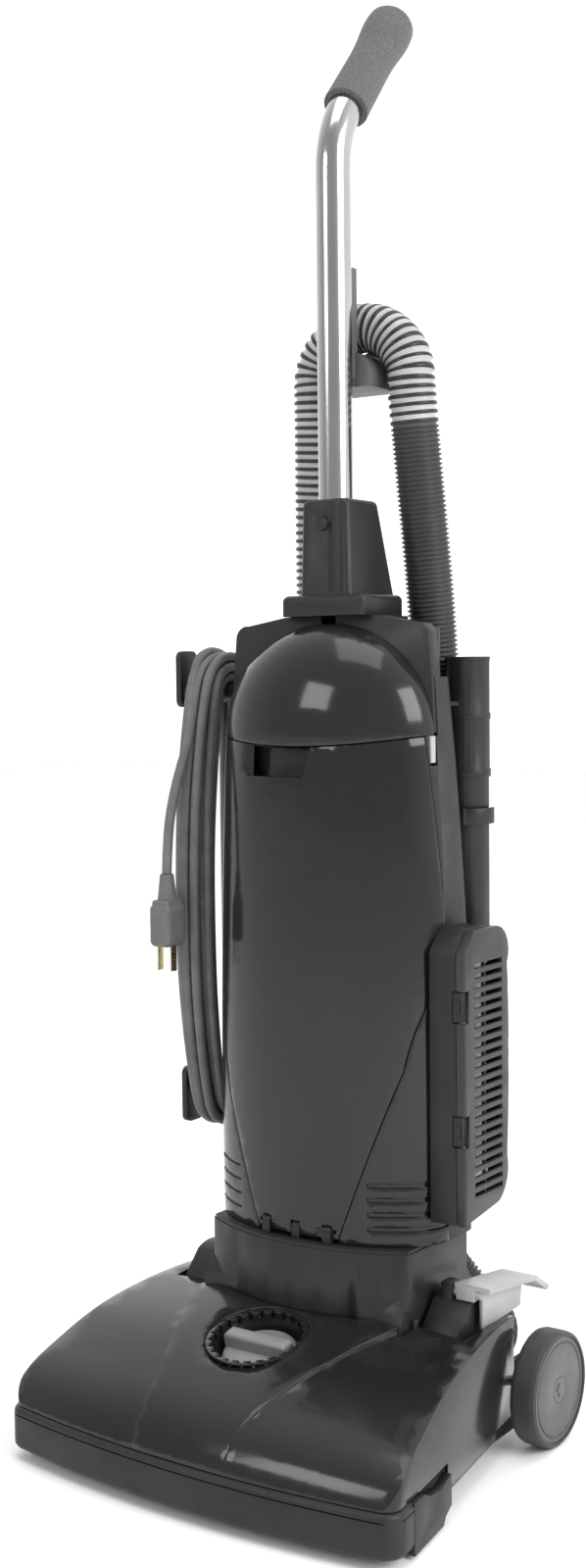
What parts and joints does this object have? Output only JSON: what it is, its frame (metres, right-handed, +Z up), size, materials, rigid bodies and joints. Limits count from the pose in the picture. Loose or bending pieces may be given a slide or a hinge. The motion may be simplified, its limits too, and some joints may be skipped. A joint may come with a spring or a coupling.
{
  "type": "upright vacuum cleaner",
  "caption": "Commercial upright vacuum cleaner: low brush base on wheels, reclining body with bag door, side filter, chrome handle, hose over a hook, wand and wound mains cord.",
  "frame": {"origin": "on the floor, under the middle of the machine's box, measured without the mains cord and its plug", "axes": "+Z up; the front of the base faces -Y; +X is to the right seen from the front, where the exhaust filter is"},
  "size_m": [0.3422, 0.3162, 1.1117],
  "materials": {
    "gloss_black": "polished injection-moulded ABS",
    "satin_black": "satin moulded plastic with a fine grain",
    "chrome_tube": "bright chromed steel tube",
    "steel": "brushed steel",
    "grip_foam": "soft grey foam rubber",
    "grey_plastic": "satin grey plastic",
    "light_grey": "satin light grey plastic",
    "wheel_grey": "moulded grey plastic",
    "tyre": "soft grey tyre",
    "hose_plastic": "ribbed flexible plastic",
    "cord_rubber": "grey rubber cord jacket",
    "brass_pins": "plated brass",
    "bristle": "nylon bristle tufts",
    "brush_wood": "lacquered wooden roller",
    "belt_rubber": "ground rubber belt",
    "paper_bag": "soft filter paper bag",
    "bag_card": "pressed card",
    "filter_media": "pleated filter media",
    "foam": "open-cell foam",
    "motor_steel": "zinc plated motor can"
  },
  "bodies": {
    "base": {"hood": "gloss_black", "knob_bezel": "gloss_black", "bumper": "satin_black", "nozzle_skirts": "satin_black", "chassis": "satin_black", "sole_plate": "steel", "sole_screws": "steel", "drive_belt": "belt_rubber", "motor": "motor_steel", "rear_axle": "steel", "trunnion_left": "satin_black", "trunnion_right": "satin_black", "pedal_spring": "steel", "base_hose": "hose_plastic"},
    "height_knob": {"height_knob": "grey_plastic"},
    "carriage": {"roller_carriage": "steel"},
    "roller_left": {"roller_left": "grey_plastic"},
    "roller_right": {"roller_right": "grey_plastic"},
    "brush": {"brush_roll": "brush_wood", "brush_tufts": "bristle"},
    "rotor": {"motor_rotor": "steel"},
    "wheel_left": {"wheel_disc_left": "wheel_grey", "wheel_tyre_left": "tyre"},
    "wheel_right": {"wheel_disc_right": "wheel_grey", "wheel_tyre_right": "tyre"},
    "pedal": {"release_pedal": "light_grey"},
    "upright": {"neck_housing": "satin_black", "rear_housing": "satin_black", "dome_cover": "gloss_black", "lower_trims": "gloss_black", "door_hinge": "satin_black", "bag_collar": "bag_card", "dust_bag": "paper_bag", "motor_filter": "foam", "filter_housing": "satin_black", "exhaust_filter": "filter_media", "handle_socket": "satin_black", "handle_bolt": "steel", "handle_tube": "chrome_tube", "handle_grip": "grip_foam", "hose_hook": "grey_plastic", "suction_hose": "hose_plastic", "hose_cuff_lower": "satin_black", "hose_elbow": "satin_black", "rear_duct": "satin_black", "wand_holder": "satin_black", "cord_strain_relief": "cord_rubber", "cord_hank": "cord_rubber", "cord_lead": "cord_rubber", "cord_tail": "cord_rubber", "plug": "cord_rubber", "plug_pins": "brass_pins", "cord_hook_lower": "satin_black"},
    "door": {"bag_door": "gloss_black"},
    "filter_cover": {"exhaust_cover": "grey_plastic"},
    "latch_upper": {"filter_latch_upper": "satin_black"},
    "latch_lower": {"filter_latch_lower": "satin_black"},
    "wand": {"wand": "satin_black"},
    "upper_hook": {"cord_hook_upper": "satin_black"},
    "switch": {"power_switch": "light_grey"}
  },
  "joints": [
    {"name": "recline", "type": "hinge", "parent": "base", "child": "upright", "pos_m": [0, 0.05, 0.088], "axis": [-1, 0, 0], "range_deg": [0, 65], "deforming": ["base_hose"]},
    {"name": "brush_spin", "type": "hinge", "parent": "base", "child": "brush", "pos_m": [0, -0.108, 0.033], "axis": [1, 0, 0], "continuous": true},
    {"name": "motor_spin", "type": "hinge", "parent": "base", "child": "rotor", "pos_m": [0, 0.05, 0.088], "axis": [1, 0, 0], "continuous": true},
    {"name": "wheel_left_spin", "type": "hinge", "parent": "base", "child": "wheel_left", "pos_m": [-0.157, 0.101, 0.0435], "axis": [1, 0, 0], "continuous": true},
    {"name": "wheel_right_spin", "type": "hinge", "parent": "base", "child": "wheel_right", "pos_m": [0.157, 0.101, 0.0435], "axis": [1, 0, 0], "continuous": true},
    {"name": "height_knob_turn", "type": "hinge", "parent": "base", "child": "height_knob", "pos_m": [0, -0.057, 0.097], "axis": [0, -0.2079, 0.9781], "range_deg": [0, 270]},
    {"name": "carriage_tilt", "type": "hinge", "parent": "base", "child": "carriage", "pos_m": [0, -0.032, 0.022], "axis": [-1, 0, 0], "range_deg": [0, 8]},
    {"name": "roller_left_spin", "type": "hinge", "parent": "carriage", "child": "roller_left", "pos_m": [-0.112, -0.066, 0.013], "axis": [1, 0, 0], "continuous": true},
    {"name": "roller_right_spin", "type": "hinge", "parent": "carriage", "child": "roller_right", "pos_m": [0.112, -0.066, 0.013], "axis": [1, 0, 0], "continuous": true},
    {"name": "pedal_press", "type": "hinge", "parent": "base", "child": "pedal", "pos_m": [0.126, 0.042, 0.127], "axis": [-1, 0, 0], "range_deg": [0, 9], "stiffness_Nm_per_rad": 4, "springref_deg": -34.38, "deforming": ["pedal_spring"]},
    {"name": "door_open", "type": "hinge", "parent": "upright", "child": "door", "pos_m": [0, -0.0036, 0.1695], "axis": [1, 0, 0], "range_deg": [0, 75]},
    {"name": "filter_cover_open", "type": "hinge", "parent": "upright", "child": "filter_cover", "pos_m": [0.1234, 0.0972, 0.285], "axis": [0, 0, 1], "range_deg": [0, 100]},
    {"name": "latch_upper_pull", "type": "slide", "parent": "filter_cover", "child": "latch_upper", "axis": [0, -1, 0], "range_m": [0, 0.003]},
    {"name": "latch_lower_pull", "type": "slide", "parent": "filter_cover", "child": "latch_lower", "axis": [0, -1, 0], "range_m": [0, 0.003]},
    {"name": "wand_lift", "type": "slide", "parent": "upright", "child": "wand", "axis": [0, 0, 1], "range_m": [0, 0.35]},
    {"name": "cord_hook_turn", "type": "hinge", "parent": "upright", "child": "upper_hook", "pos_m": [-0.12, 0.066, 0.572], "axis": [1, 0, 0], "range_deg": [0, 180]},
    {"name": "switch_rock", "type": "hinge", "parent": "upright", "child": "switch", "pos_m": [0.0904, 0.0434, 0.5294], "axis": [0, 1, 0], "range_deg": [0, 8]}
  ],
  "couplings": [
    {"joint": "motor_spin", "follows": "brush_spin", "ratio": 1.682},
    {"joint": "carriage_tilt", "follows": "height_knob_turn", "ratio": 0.0296}
  ]
}
